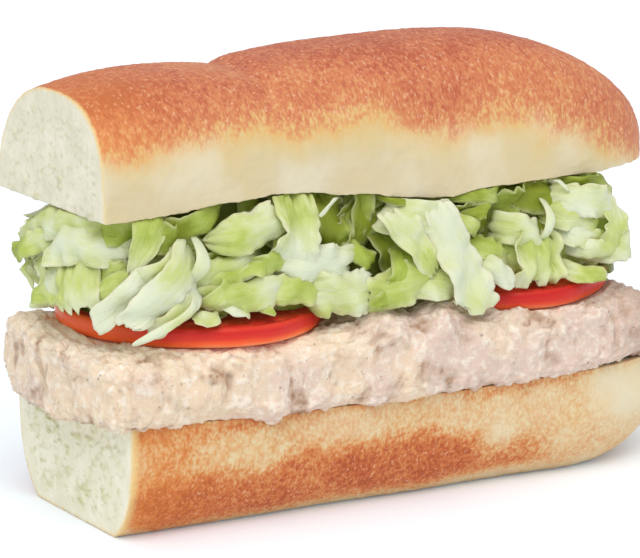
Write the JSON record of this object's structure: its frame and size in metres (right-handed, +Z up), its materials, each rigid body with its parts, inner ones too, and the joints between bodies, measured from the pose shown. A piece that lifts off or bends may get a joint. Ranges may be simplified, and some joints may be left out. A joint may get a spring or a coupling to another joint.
{
  "type": "submarine sandwich",
  "caption": "Long soft roll cut across at one end, filled with tuna salad, tomato slices and a heap of shredded iceberg lettuce under a domed browned top.",
  "frame": {"origin": "middle of the flat base that the bottom bread stands on", "axes": "+X along the bread from the cut end to the round baked end, +Y towards the back, away from the side where the filling shows most, +Z up"},
  "size_m": [0.1935, 0.076, 0.1197],
  "materials": {
    "bread_bottom": "matt baked crust with pale crumb",
    "tuna_salad": "moist and flaky",
    "tomato": "wet skin and flesh",
    "lettuce": "thin crisp leaf, satin",
    "bread_top": "browned crust above, pale cream below"
  },
  "bodies": {
    "root": {"bread_bottom": "bread_bottom", "tuna_salad": "tuna_salad", "tomato_slice_left": "tomato", "tomato_slice_right": "tomato", "lettuce_shreds": "lettuce", "bread_top": "bread_top"}
  },
  "joints": []
}
